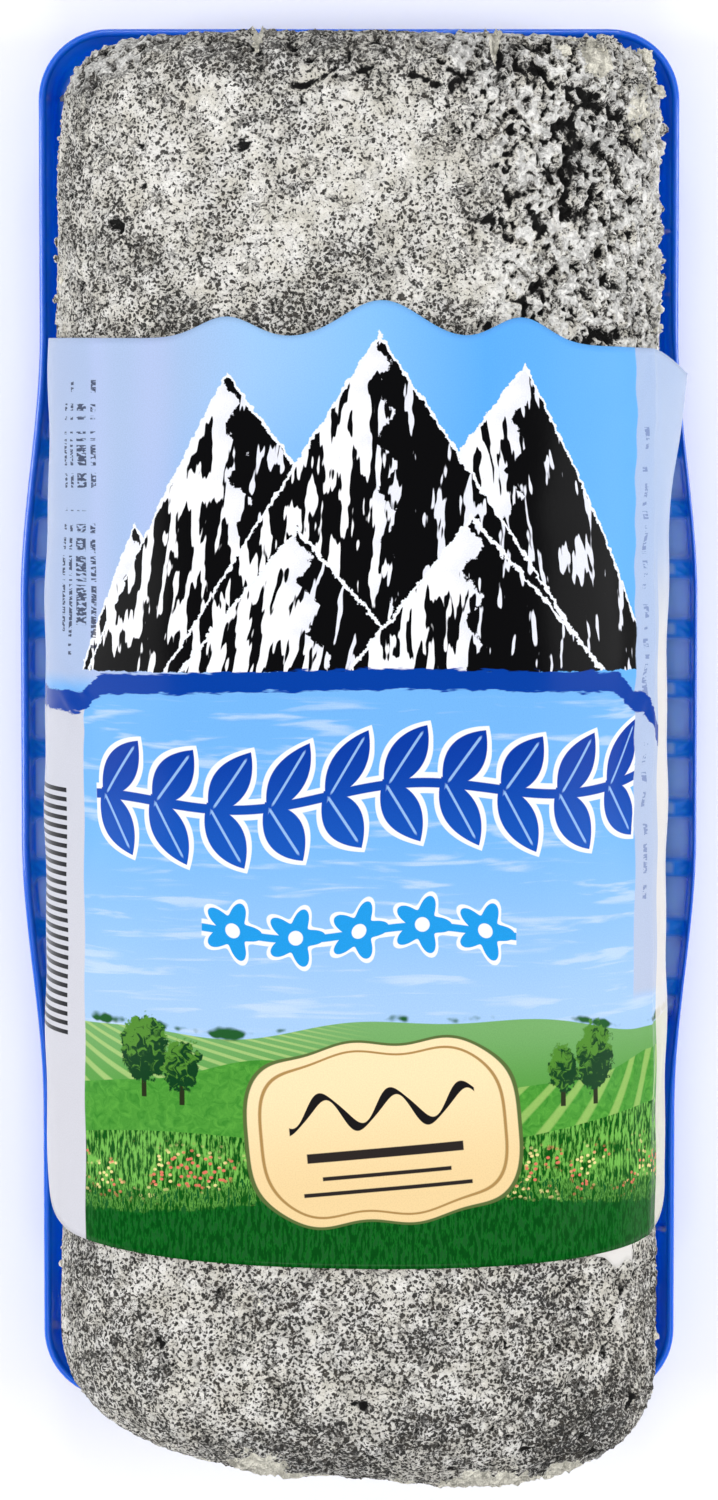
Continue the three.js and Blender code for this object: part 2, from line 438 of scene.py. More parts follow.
def log_shape(s):
    """Rings of the bare log from its near end to its far end, far apart where the band hides them."""
    half = s.length / 2
    right_shares, left_shares = ring_shares(172), ring_shares(116)
    near_round, far_round = 2.6, 2.4
    angle = np.linspace(0.02, 1, 62) ** 0.9 * math.pi / 2
    near_steps = s.dome * (1 - np.cos(angle) ** (2 / near_round))
    near_steps = near_steps[near_steps < s.dome * 0.995]
    turn = np.linspace(0, math.pi / 2, 26)
    far_steps = s.length - s.edge_radius * (1 - np.sin(turn) ** (2 / far_round))
    hidden_from, hidden_to = 36, 140
    steps = np.concatenate([
        near_steps,
        np.arange(s.dome, hidden_from, 0.56),
        np.arange(hidden_from, hidden_to, 3.2),
        np.arange(hidden_to, s.length - s.edge_radius, 0.46),
        far_steps,
    ])
    stations = [(y - half, 1) for y in steps]
    stations += [(half, share) for share in np.linspace(1, 0.03, 26)[1:]]
    rings = []
    for y, share in stations:
        loss = float(drawn_in(half - y, s.edge_radius, far_round)) * s.edge_radius
        near_share = 1 - float(drawn_in(y + half, s.dome, near_round))
        half_width = (s.width / 2 * near_share - loss) * share
        half_height = (s.height / 2 * near_share - loss) * share
        x, z, walked = walk_section(half_width, half_height, s.roundness)
        right_x, right_z = (np.interp(right_shares * walked[-1], walked, side) for side in (x, z))
        left_x, left_z = (np.interp(left_shares * walked[-1], walked, side) for side in (x, z))
        ring_x = np.concatenate([right_x, -left_x[-2:0:-1]])
        ring_z = np.concatenate([right_z, left_z[-2:0:-1]])
        lean = 2.5 * ring_z / (s.height / 2) + 2.8 * ring_x / (s.width / 2)
        ring_y = y - lean * ease(-20, -half, y)
        taper = 1 - 0.035 * ease(half - 19, half, y) * ease(8, -30, ring_x)
        rings.append(np.stack([ring_x * taper, ring_y, ring_z], axis=1))
    return np.array(rings)


def blob(points, place, size):
    """A soft round mask about a place on the log."""
    gap = (points - np.array(place)) / np.array(size)
    return np.exp(-(gap ** 2).sum(axis=1))


def log_masks(points, s):
    """How broken, bare of ash, dusty with it, free to stand out and grooved each point of the log is."""
    x, y, z = points.T
    half = s.length / 2
    from_far, from_near = half - y, half + y
    side = ease(44, 58, y) * ease(-25, 5, z)
    right_side = ease(4, 28, x) * side
    left_side = ease(-20, -37, x) * side
    near_side = ease(16, 36, x) * ease(-60, -70, y)
    far_rim = ease(9, 3, from_far) * ease(-10, 10, z)
    near_rim = ease(5, 1, from_near) * ease(-5, 12, z)
    corner = blob(points, (33, half - 4, 26), (13, 10, 18))
    broken = 0.14 + 0.8 * right_side + 0.9 * corner + 0.4 * far_rim + 0.3 * (near_rim + left_side)
    broken += 0.36 * near_side

    dusty = 0.34 * ease(-50, -62, y) - 0.05 * ease(-14, -36, x) * ease(40, 60, y)
    dusty += 0.25 * ease(24, 8, from_near) + 0.4 * ease(8, -18, z) + 0.55 * far_rim
    dusty += 0.8 * blob(points, (-18, 58, 36), (26, 4, 14)) + 0.5 * near_side - 0.1 * right_side

    bare = np.zeros(len(points))
    patches = (
        (1.0, (30.5, half - 2.5, 27), (2.4, 4.2, 9)),
        (0.62, (37, half - 11, 22), (3.4, 9, 9)),
        (0.42, (-12, 27 - half, 32), (9, 4, 12)),
        (1.0, (-14, 4.2 - half, 28), (4.0, 3.4, 6)),
        (0.95, (17, 1.4 - half, 25), (8, 2.8, 6)),
    )
    for weight, place, size in patches:
        bare += weight * blob(points, place, size)
    rim = hill(z - 3 * np.sin(0.5 * x), 17, 8) * ease(6.5, 2.5, from_near)
    for place, width, weight in ((-13.5, 5, 1.0), (-6, 5, 0.7), (14, 10, 1.0), (27, 4, 0.9), (-25, 6, 0.5)):
        bare += weight * hill(x, place, width) * rim
    upper = ease(17, 25, z + 2 * np.sin(0.9 * x))
    left_notch, right_notch = -13.2, 17.4
    from_rim = from_far + 0.6
    for place, width, length in ((left_notch, 1.1, 4.4), (right_notch, 1.3, 6.2)):
        narrowed = width * np.clip(1 - from_rim / length, 0.02, 1)
        bare += 1.1 * ease(1.15, 0.7, np.abs(x - place) / narrowed) * (from_rim < length) * upper

    crease_y = half - 6.3 + 0.9 * np.sin(0.31 * x + 1) + 0.35 * np.sin(1.1 * x)
    parts = 0.25 + 0.75 * ease(-0.3, 0.6, np.sin(0.8 * x + 1) + 0.6 * np.sin(2.1 * x))
    crease = hill(y, crease_y, 0.5) * ease(-17, -10, x) * ease(17, 10, x) * parts
    crack = hill(x - 0.1 * from_far, right_notch, 0.6) * ease(7.5, 4, from_far)
    crack += hill(x, left_notch, 0.55) * ease(4.5, 2, from_far)
    cut = hill(y + 0.45 * x + 0.7 * np.sin(1.3 * x), half + 4.5, 0.6) * ease(17, 22, x)
    groove = np.clip(crease + crack + 0.7 * cut, 0, 1) * upper
    free = 1 - 0.85 * ease(-68, -63, y) * ease(58, 52, y) * ease(-30, -20, z)
    masks = {"broken": broken, "bare": bare, "dusty": dusty, "free": free, "groove": groove}
    return {name: np.clip(values, 0, 1) for name, values in masks.items()}


def relief_tree(material):
    """Geometry nodes that break up the smooth log: broad lumps, crags where it is broken, and small pits."""
    tree, geometry, lump, crag, pit, seed = geometry_tree("cheese relief", "Lump", "Crag", "Pit", "Seed")
    broken, free, groove, bare = (named(tree, name) for name in ("broken", "free", "groove", "bare"))
    at = shift(field(tree, "GeometryNodeInputPosition"), vector(tree, seed, seed * 0.37, seed * 1.7), 0.1)
    broad = noise(at, 55, 2, 0.5) - 0.5
    middling = noise(at, 190, 3, 0.6) - 0.5
    lumps = (broad * 1.5 + middling) * lump - ramp(broken, 0.3, 0.9) * lump * 0.5
    clumps = cells(shift(at, noise(at, 260, output=1), 0.0016), 400, "SMOOTH_F1")
    gaps = ramp(clumps, 0.46, 0.64) * ramp(noise(at, 120, 2, 0.5), 0.36, 0.52)
    rough_holes = ramp(noise(at, 760, 4, 0.7, 0.6), 0.48, 0.39)
    deep_holes = ramp(noise(at, 430, 4, 0.68, 1.2), 0.43, 0.35)
    crags = -(gaps * 0.52 + rough_holes * 0.42 + deep_holes * 0.38) * crag * broken
    chips = ramp(noise(at, 460, 4, 0.64), 0.54, 0.66) * crag * broken * 0.34
    small = ramp(noise(at, 640, 3, 0.6, 0.5), 0.47, 0.36)
    wide = ramp(noise(at, 300, 2, 0.5, 0.3), 0.36, 0.28)
    pits = (noise(at, 520, 3, 0.6) * 0.9 - small * 0.8 - wide * 0.9) * pit
    cracks = groove * crag * 0.42
    curds = ramp(noise(at, 430, 4, 0.68, 0.3), 0.40, 0.62) * ramp(bare, 0.3, 0.8) * crag * 0.34
    height = (lumps + crags + chips + pits - cracks + curds) * free
    # How sunk each point is, kept as "sunk" for the painted shade in the cheese's colour.
    depth = (gaps * 0.6 + rough_holes * 0.76 + deep_holes * 0.7) * broken
    depth = (depth + wide * 0.6 + small * 0.3 + groove * 0.8) * ramp(free, 0.0, 0.6)
    inputs = {"Geometry": geometry, "Name": "sunk", "Value": depth}
    stored = field(tree, "GeometryNodeStoreNamedAttribute", inputs, data_type="FLOAT")
    return end_tree(tree, push_out(tree, stored, height), material)


def cheese_material(s):
    """Off-white curd under a patchy coat of grey and black ash, with painted shade that darkens every sunk
    pit, hole, crack and crease.
    """
    material, tree, at = new_material("ash-coated cheese")
    broken, bare, sunk, dusty = (attribute(tree, name) for name in ("broken", "bare", "sunk", "dusty"))
    bent = shift(at, noise(at, 520, output=1), 0.0009)
    spread = noise(at, 70, 4, 0.62)
    cluster = noise(bent, 330, 3, 0.6)
    load = (spread - 0.5) * 0.55 + (cluster - 0.5) * 0.42 + dusty * 0.16 + broken * 0.03

    amount = ramp(noise(at, 1000, 2, 0.5) + load * 0.8, 0.36, 0.6, 0.03, 0.40)
    dots = ramp(cells(bent, 1650) - amount, 0.06, -0.03)
    specks = ramp(noise(bent, 2300, 3, 0.68, 0.3) - load * 0.4, 0.435, 0.395)
    smudges = ramp(noise(bent, 760, 4, 0.7, 0.5) - load * 0.42, 0.37, 0.30)
    ridge = abs(noise(bent, 340, 4, 0.66, 0.5) - 0.5)
    creased = noise(at, 210, 2, 0.5) + load * 0.45 + broken * 0.12
    creases = ramp(ridge, 0.02, 0.003) * ramp(creased, 0.53, 0.6)
    tops = ramp(noise(bent, 520, 3, 0.65) - sunk * 0.5, 0.35, 0.49) * ramp(broken, 0.45, 0.8)
    # Painted shade: the colour goes near black wherever the relief is sunk.
    painted_hollow_shade = ramp(sunk + (noise(at, 1300, 4, 0.7) - 0.5) * 1.1, 0.36, 0.62)
    patch = ramp(bare * 1.1 + (noise(bent, 230, 4, 0.74) - 0.5) * 2.2, 0.56, 0.66)
    dark = (dots * 0.92).most(specks * 0.94).most(smudges * 0.8).most(creases * 0.6)
    dark = (dark * (1.0 - tops * 0.86)).most(painted_hollow_shade)

    film = ramp(load + noise(at, 420, 4, 0.7) * 0.5, 0.10, 0.50)
    curd = tint(ramp(noise(at, 260, 4, 0.65), 0.3, 0.7), rgb(226, 222, 211), rgb(255, 253, 249))
    haze = tint(ramp(spread, 0.4, 0.6), rgb(176, 171, 162), rgb(160, 160, 160))
    coated = tint(tops * 0.95, tint(film * 0.42, curd, haze), rgb(255, 254, 251))
    ash_and_painted_shade = tint(ramp(noise(at, 900, 2, 0.5), 0.42, 0.66), rgb(9, 8, 7), rgb(52, 46, 38))
    # Painted shade: the ash turns near black where the relief is sunk.
    ash_and_painted_shade = tint(ramp(sunk, 0.25, 0.55), ash_and_painted_shade, rgb(13, 12, 11))
    fine = noise(at, 2100, 4, 0.65) * 0.3 + noise(bent, 800, 4, 0.66) * 2.6
    height = fine - specks * 0.4 - dots * 0.4 - smudges * 0.8 - creases * 0.9
    return shade(material, {
        "Base Color": tint(dark * (1.0 - patch * 0.93), tint(patch, coated, s.curd), ash_and_painted_shade),
        "Roughness": 0.85,
        "Specular IOR Level": 0.3,
        "Normal": bump(height, 1.0, 0.00055),
    })


class CHEESE_OT_log(bpy.types.Operator):
    """Builds the uneven ash-coated log in place of the plain one."""

    bl_idname = "cheese.make_log"
    bl_label = "Cheese log"

    def execute(self, context):
        s = context.scene.cheese_log
        rings = log_shape(s)
        points = with_hubs(rings)
        masks = log_masks(points, s)
        points += (0, log_low.y / MM - points[:, 1].min(), log_middle_z())
        piece = ringed_piece("cheese", rings, points, masks)
        heights = {"Lump": s.lump * MM, "Crag": s.crag * MM, "Pit": s.pit * MM, "Seed": float(s.seed)}
        add_nodes(piece, relief_tree(cheese_material(s)), heights)
        make_plain(piece)
        finish_piece(piece, "cheese", "cheese_log")
        return {"FINISHED"}


# Crumbs


def crumb_spots(s):
    """Places, radii and bareness of torn curds on the broken corner and of crumbs down the sides."""
    rng = np.random.default_rng(s.seed)
    cheese = bpy.data.objects["cheese"].data
    points = np.zeros(len(cheese.vertices) * 3)
    cheese.vertices.foreach_get("co", points)
    points = points.reshape(-1, 3) / MM
    half_x = s.width / 2
    near, far = points[:, 1].min(), points[:, 1].max()
    zones = (
        ((22, far - 8, 44), (half_x + 2, far - 2, 72), 12, 0.8, 1.6),
        ((half_x - 3, far - 26, 30), (half_x + 3, far - 3, 60), 17, 0.45, 1.1),
        ((half_x - 3, 55, 30), (half_x + 3, far - 26, 62), 12, 0.35, 0.7),
        ((-half_x - 3, 56, 30), (-half_x + 3, far - 12, 60), 9, 0.3, 0.75),
        ((-half_x - 3, near + 8, 26), (-half_x + 3, near + 30, 56), 9, 0.25, 0.5),
        ((half_x - 3, near + 8, 26), (half_x + 3, near + 30, 56), 9, 0.25, 0.5),
        ((-20, near - 1, 24), (26, near + 3, 50), 10, 0.35, 0.8),
    )
    centres, radii = [], []
    for low, high, count, small, large in zones:
        within_zone = np.all((points > low) & (points < high), axis=1)
        picks = rng.choice(np.flatnonzero(within_zone), count)
        size = rng.uniform(small, large, count)
        outward = points[picks] - (0, 0, log_middle_z())
        outward[:, 1] *= 0.25
        outward /= np.linalg.norm(outward, axis=1)[:, None]
        centres.append(points[picks] + outward * size[:, None] * 0.15)
        radii.append(size)
    loose_x = np.array([38.4, 43.6, 43.3, 42.9, -42.6, -42.7, 43.0])
    loose_y = np.array([93.2, 84, 71, 62, 90, -88, -74])
    loose = rng.uniform(0.3, 0.6, len(loose_y))
    centres.append(np.stack([loose_x, loose_y, 1.7 + loose * 0.5], axis=1))
    radii = np.concatenate([*radii, loose])
    bare = np.where(rng.uniform(0, 1, len(radii)) < 0.42, 0.75, 0.0)
    bare[-len(loose):] = 1.0
    return np.concatenate(centres), radii, bare


def crumb_tree(material):
    """Geometry nodes that set an uneven lump on every spot, turned and sized by its own numbers."""
    tree, spots, roughness = geometry_tree("crumbs", "Roughness")
    size = named(tree, "size")

    def at_random(low, high, seed):
        inputs = {"Min": low, "Max": high, "Seed": seed}
        return field(tree, "FunctionNodeRandomValue", inputs, data_type="FLOAT_VECTOR")

    squash = at_random((0.7, 0.65, 0.6), (1.3, 1.1, 1.0), 5)
    lumps = field(tree, "GeometryNodeInstanceOnPoints", {
        "Points": spots,
        "Instance": field(tree, "GeometryNodeMeshIcoSphere", {"Radius": 1.0, "Subdivisions": 4}),
        "Rotation": at_random((0, 0, 0), (math.tau, math.tau, math.tau), 3),
        "Scale": field(tree, "ShaderNodeVectorMath", {0: squash, "Scale": size}, operation="SCALE"),
    })
    lumps = field(tree, "GeometryNodeRealizeInstances", {0: lumps})
    at = field(tree, "GeometryNodeInputPosition")
    lumpy = (noise(at, 620, 4, 0.66) - 0.5) * 3.4 - ramp(noise(at, 1500, 3, 0.6), 0.46, 0.36) * 0.5
    return end_tree(tree, push_out(tree, lumps, lumpy * size * roughness), material)


class CHEESE_OT_crumbs(bpy.types.Operator):
    """Sets torn curds and crumbs on the log and in the tray."""

    bl_idname = "cheese.make_crumbs"
    bl_label = "Crumbs"

    def execute(self, context):
        s = context.scene.cheese_log
        centres, radii, bare = crumb_spots(s)
        mesh = bpy.data.meshes.new("crumbs")
        mesh.from_pydata((centres * MM).tolist(), [], [])
        add_layers(mesh, {"size": radii * MM, "bare": bare})
        piece = link_new("crumbs", mesh)
        add_nodes(piece, crumb_tree(bpy.data.materials["ash-coated cheese"]), {"Roughness": s.torn})
        make_plain(piece)
        piece.data.shade_smooth()
        finish_piece(piece, "cheese")
        return {"FINISHED"}


# The printed band


def band_far_edge(s, across):
    """The die-cut far edge, with three soft peaks."""
    edge = s.far_edge - 0.016 * across - 2.6 * ease(43, 66, across)
    for place, rise, spread in ((-17, 2.9, 5.0), (3, 5.3, 7.2), (21, 3.4, 5.0)):
        edge = edge + rise * hill(across, place, spread)
    return edge


def band_near_edge(s, across):
    """The near edge, bowed a little and with round corners."""
    start, radius = 39.5, 36.0
    past = np.maximum(0, np.abs(across) - start)
    corner = radius - np.sqrt(np.maximum(0, radius ** 2 - past ** 2))
    return s.near_edge + 0.0012 * across ** 2 + corner - 0.012 * across


def band_surface(s, across, along):
    """Points of the paper's inner face, by distance round the log from its crest and place along it."""
    log = bpy.context.scene.cheese_log
    step = 0.4
    x, z, normal_x, normal_z = np.zeros((4, len(across)))
    for side, loose in ((-1, s.loose_left), (1, s.loose_right)):
        half_width, half_height = log.width / 2 + s.gap + loose, log.height / 2 + s.gap
        line_x, line_z, walked = walk_section(half_width, half_height, log.roundness)
        part = across >= 0 if side > 0 else across < 0
        reach = np.abs(across[part])
        ahead, behind = reach + step, np.maximum(0, reach - step)
        run = np.interp(ahead, walked, line_x) - np.interp(behind, walked, line_x)
        rise = np.interp(ahead, walked, line_z) - np.interp(behind, walked, line_z)
        length = np.hypot(run, rise)
        x[part] = side * np.interp(reach, walked, line_x)
        z[part] = np.interp(reach, walked, line_z)
        normal_x[part] = -side * rise / length
        normal_z[part] = run / length
    flare = 3.2 * ease(48, s.reach_right, across) * ease(s.far_edge - 32, s.far_edge, along)
    buckle = np.sin(0.21 * along + 0.05 * across) * np.sin(0.11 * across + 1.0)
    buckle += 0.6 * np.sin(0.43 * along - 0.17 * across + 2.0)
    out = s.wrinkle * (0.5 + 0.5 * buckle) * ease(8, 40, np.abs(across))
    out += hill(across, 43.5, 1.1) * (0.35 + 0.15 * np.sin(0.13 * along))
    out += 0.4 * np.sin(1.5 * along + 0.8 * across) * hill(across, -41, 3) * hill(along, 7, 4)
    out += 0.25 * np.sin(1.1 * along - 0.9 * across) * hill(across, 41, 2.5) * (along > -12)
    out -= 0.75 * ease(5, 50, along) * ease(-34, -46, across)
    x += normal_x * out + flare
    z += normal_z * out + 0.5 * flare
    return np.stack([x, along, z + log_middle_z()], axis=-1)


def print_noise(s, y, scale, detail=2.0, rough=0.5, twist=0.0):
    """Noise over the flat print."""
    return noise(vector(s.tree, s, y), scale, detail, rough, twist, flat=True)


def turned(s, y, centre, degrees):
    """Print coordinates about a centre, turned anticlockwise."""
    angle = math.radians(degrees)
    ds, dy = s - centre[0], y - centre[1]
    return ds * math.cos(angle) + dy * math.sin(angle), dy * math.cos(angle) - ds * math.sin(angle)


def wave(value, length, start=0.0):
    return (value * (math.tau / length) + start).maths("SINE")


def within(value, low, high, soft=0.15):
    return ramp(value, low - soft / 2, low + soft / 2) * ramp(value, high + soft / 2, high - soft / 2)


def oval(x, y, half_width, half_height):
    """Distance-like field of an ellipse, negative inside it."""
    span = (x / half_width).maths("POWER", 2.0) + (y / half_height).maths("POWER", 2.0)
    return (span.maths("SQRT") - 1.0) * min(half_width, half_height)


def print_sky(s, y):
    """Sky that is palest at the left shoulder and above the fields, with thin streaks of cloud and painted
    soft highlights in vertical bands on the left.
    """
    across = colour_ramp(ramp(s, -60, 60), [
        (0.0, rgb(176, 192, 226)),
        (0.20, rgb(172, 195, 233)),
        (0.33, rgb(160, 202, 248)),
        (0.52, rgb(134, 194, 252)),
        (0.70, rgb(94, 174, 252)),
        (1.0, rgb(110, 184, 252)),
    ])
    low = colour_ramp(ramp(y, -36, 9), [
        (0.0, rgb(170, 206, 248)),
        (0.16, rgb(152, 198, 252)),
        (0.6, rgb(122, 186, 248)),
        (1.0, rgb(116, 182, 246)),
    ])
    bloom = oval(s + 3.0, y - 24.0, 30.0, 24.0)
    across = tint(ramp(bloom, 6.0, -22.0, 0.0, 0.55), across, rgb(72, 166, 255))
    # Painted highlight: soft lavender bands on the left stand in for the gloss of the paper under the lamps.
    painted_sheen_bands = (wave(s, 9.4, 0.8) * 0.5 + 0.5) * within(s, -37.0, -22.0, 3.0)
    across = tint(painted_sheen_bands * 0.5, across, rgb(184, 198, 240))
    sky = tint(inside(y, 9.5, 3.0), across, low)
    streaks = print_noise(s * 0.16, y * 1.5, 0.42, 3, 0.55, 0.3)
    cloud = ramp(streaks, 0.52, 0.72) * inside(y, 7.5, 2.0) * 0.55
    return tint(cloud, sky, rgb(214, 230, 253))


def print_peak(under, s, y, rough, top, slopes, drift):
    """One black and white peak: snow on its left face, rock on its right, with a thin white line round it."""
    ds, down = s - top[0], top[1] - y
    edge = (ds * slopes[1]).most(ds * -slopes[0])
    below = down - edge + rough * 2.2
    zigzag = down.maths("PINGPONG", 3.3) - 1.6
    ridge = ds - down * drift - zigzag * 0.9 + rough * 2.5
    fingers = print_noise(s + down * drift, y * 0.22, 0.62, 2, 0.55)
    depth = ramp(down, 2, 26)
    rock_left = inside(fingers * 9.0 - depth * 1.5 + ramp(down, 6.5, 2.0) * 4.0, 3.45, 0.25)
    snow_right = inside(-(fingers * 9.0) - depth * 0.1, -5.75, 0.25)
    left = inside(ridge, 0.0, 0.25)
    dark = (1.0 - left) * (1.0 - snow_right) + left * rock_left
    shaded = tint(inside(ridge + 1.6, 0.0, 4.0), rgb(236, 238, 250), rgb(250, 250, 255))
    face = tint(dark, shaded, rgb(4, 4, 6))
    with_line = tint(inside(-below, 0.55), under, rgb(244, 247, 255))
    return tint(inside(-below, -0.15), with_line, face)


def print_leaves(under, s, y):
    """A garland of large dark leaves with white edges, and a smaller azure row of blossoms below it."""
    white = rgb(246, 249, 255)
    pitch = 7.6
    cell = (s + 36.0).maths("FLOORED_MODULO", pitch) - pitch / 2
    row = y - (wave(s, 43.0, 0.6) * 1.3 + s * 0.045 - 4.6)
    leaves, veins = [], []
    for centre, degrees in (((0.3, 3.4), -34), ((-0.3, -3.4), 30)):
        aside, along = turned(cell, row, centre, degrees)
        leaves.append(abs(aside) - (1.0 - (along / 4.9).maths("POWER", 2.0)) * 2.35)
        veins.append(inside(abs(aside), 0.16))
    garland = leaves[0].least(leaves[1])
    whole = garland.least(abs(row) - 0.62)
    vein = veins[0].most(veins[1]) * inside(garland, -0.9, 0.4)
    ends = within(s, -35.9, 39.7)
    under = tint(inside(whole, 0.75) * ends, under, white)
    under = tint(inside(whole) * ends, under, tint(ramp(y, -14, 4), rgb(24, 88, 190), rgb(6, 58, 164)))
    under = tint(vein * ends, under, rgb(150, 190, 240))

    pitch = 8.2
    spot = (s + 20.5).maths("FLOORED_MODULO", pitch) - pitch / 2
    line = y + 22.3 - wave(s, 32.8) * 0.9
    radius = (spot * spot + line * line).maths("SQRT")
    petals = radius - 2.95 - (line.maths("ARCTAN2", spot) * 5.0).maths("COSINE") * 0.95
    twig = (abs(line + 0.2) - 0.5).most(1.0 - radius)
    bloom = petals.least(twig)
    ends = within(s, -20.5, 20.5)
    under = tint(inside(bloom, 0.6) * ends, under, white)
    under = tint(inside(bloom) * ends, under, rgb(34, 156, 232))
    return tint(inside(radius, 0.95) * ends, under, white)


def print_fields(under, s, y, rough, wobble):
    """Rolling fields with crop lines, woods, round trees and flowers, and a dark foreground."""
    far = wave(s, 66.0, 0.4) * 1.1 + wave(s, 27.0, 2.0) * 0.5 - 35.0
    middle = wave(s, 58.0, 2.6) * 1.9 + wave(s, 19.0) * 0.3 - 41.2
    near = wave(s, 74.0, 4.0) * 1.6 + s * 0.035 - 49.5
    front = wave(s, 88.0, 1.1) * 1.5 - 58.2 + rough * 1.5
    blades = print_noise(s, y * 0.25, 2.2, 3, 0.6)
    dabs = print_noise(s, y, 0.9, 3, 0.62, 0.8)

    colour = tint(ramp(y, -44, -34), rgb(92, 160, 72), rgb(122, 176, 108))
    rows = wave((s + 70.0) / (y * -0.35 - 8.0), 0.72) * 0.5 + 0.5
    colour = tint(ramp(rows, 0.55, 0.9) * inside(s, -4.0, 14.0) * 0.75, colour, rgb(178, 208, 128))
    woods = inside(abs(y - far - 0.5) - wobble * 3.5, 0.15, 0.5)
    under = tint(inside(y - far), under, colour)
    under = tint(woods * ramp(wobble, -0.02, 0.06), under, rgb(34, 92, 44))

    colour = tint(dabs, rgb(18, 116, 30), rgb(106, 184, 72))
    furrows = wave((s - 52.0) / (y * -0.30 - 5.0), 0.5) * 0.5 + 0.5
    colour = tint(ramp(furrows, 0.6, 0.9) * ramp(s, 2, 16) * 0.7, colour, rgb(168, 204, 112))
    under = tint(inside(y - middle), under, colour)

    crowns = (
        (-28.5, -38.0, 3.4, 4.4), (-23.2, -40.0, 2.5, 3.3), (27.0, -40.6, 2.2, 3.0), (31.8, -39.2, 3.0, 4.4),
    )
    for centre_s, centre_y, half_width, half_height in crowns:
        crown = oval(s - centre_s, y - centre_y, half_width, half_height) + rough * 2.6
        lit = ramp(dabs + (y - centre_y) * 0.045 - (s - centre_s) * 0.03, 0.46, 0.62)
        trunk = inside(abs(s - centre_s) - 0.35) * within(y, centre_y - half_height - 2.0, centre_y)
        under = tint(trunk, under, rgb(40, 48, 26))
        under = tint(inside(crown, 0.0, 0.3), under, tint(lit, rgb(14, 64, 30), rgb(84, 142, 50)))

    colour = tint(ramp(blades, 0.4, 0.62), rgb(10, 84, 16), rgb(118, 188, 82))
    under = tint(inside(y - near), under, colour)
    spots = cells(vector(s.tree, s, y * 1.3), 0.95, flat=True)
    petals = tint(ramp(print_noise(s, y, 0.25, 1, 0.5), 0.46, 0.54), rgb(226, 120, 96), rgb(240, 226, 150))
    groups = within(y, -57.5, -51.0, 2.5) * ramp(print_noise(s, y, 0.16), 0.45, 0.55)
    under = tint(inside(spots, 0.24, 0.12) * groups, under, petals)

    dark = tint(ramp(blades, 0.42, 0.66), rgb(0, 74, 16), rgb(22, 130, 38))
    under = tint(inside(y - front, 0.0, 0.5), under, dark)
    tufts = inside(y - front - blades * 9.0 + 2.6, 0.0, 0.4) * ramp(blades, 0.52, 0.6)
    return tint(tufts, under, rgb(22, 92, 36))


def print_plaque(under, s, y):
    """A bare cream plaque with a thin border and a plain flourish."""
    along, up = turned(s, y, (3.2, -48.6), 5)
    ripple = wave(along, 13.0) * 0.45
    span = abs(along / 17.6).maths("POWER", 3.4) + abs((up + ripple) / 11.6).maths("POWER", 3.4)
    edge = (span.maths("POWER", 1 / 3.4) - 1.0) * 11.6
    shade = tint(ramp(up, -9, 9), rgb(244, 214, 160), rgb(255, 230, 184))
    under = tint(inside(edge, 0.35), under, rgb(92, 110, 60))
    under = tint(inside(edge, 0.0), under, shade)
    under = tint(inside(abs(edge + 1.1), 0.14), under, rgb(176, 140, 84))
    curl = abs(up - 3.2 - wave(along, 9.2, 0.4) * 2.1) - 0.55 - wave(along, 4.6, 1.0) * 0.3
    under = tint(inside(curl) * within(along, -12.2, 12.2), under, rgb(24, 22, 24))
    for place, reach, half in ((-2.6, 10.2, 0.62), (-5.4, 8.4, 0.26), (-7.4, 11.0, 0.26)):
        rule = inside(abs(up - place), half) * within(along, -reach, reach)
        under = tint(rule, under, rgb(44, 38, 36))
    return under


def print_margins(under, s, y):
    """The white margin with plain bars and broken lines, and the pale panel past the right fold."""
    white = tint(ramp(y, -50, 8), rgb(212, 212, 221), rgb(208, 210, 222))
    margin = inside(s, -38.4, 0.2) * inside(y, 7.6, 0.3)
    under = tint(margin, under, white)
    bars = inside(y.maths("PINGPONG", 0.62), 0.3, 0.06)
    under = tint(bars * within(s, -56.5, -42.6) * within(y, -37.5, -4.5), under, rgb(24, 26, 34))
    words = print_noise(s * 0.02, y, 0.8)
    letters = ramp(print_noise(s * 0.3, y * 1.2, 2.6, 1), 0.42, 0.5)
    columns = ((-36.4, 0.5, 49, 14), (-39.0, 1.15, 46, 17), (-41.6, 0.42, 49, 13), (-43.6, 0.42, 47, 16))
    for place, half, top, low in columns:
        line = inside(abs(s - place), half, 0.12) * within(y, low, top) * ramp(words, 0.44, 0.47) * letters
        under = tint(line * 0.85, under, rgb(22, 30, 60))
    fold = tint(ramp(y, -60, 50), rgb(192, 202, 226), rgb(176, 197, 233))
    under = tint(ramp(s, 38.9, 39.2) * ramp(y, -33.0, -31.0), under, fold)
    fine = inside(abs(s - 41.6), 0.5, 0.1) * within(y, -20, 44) * ramp(words, 0.48, 0.51) * letters
    return tint(fine * 0.6, under, rgb(90, 110, 170))


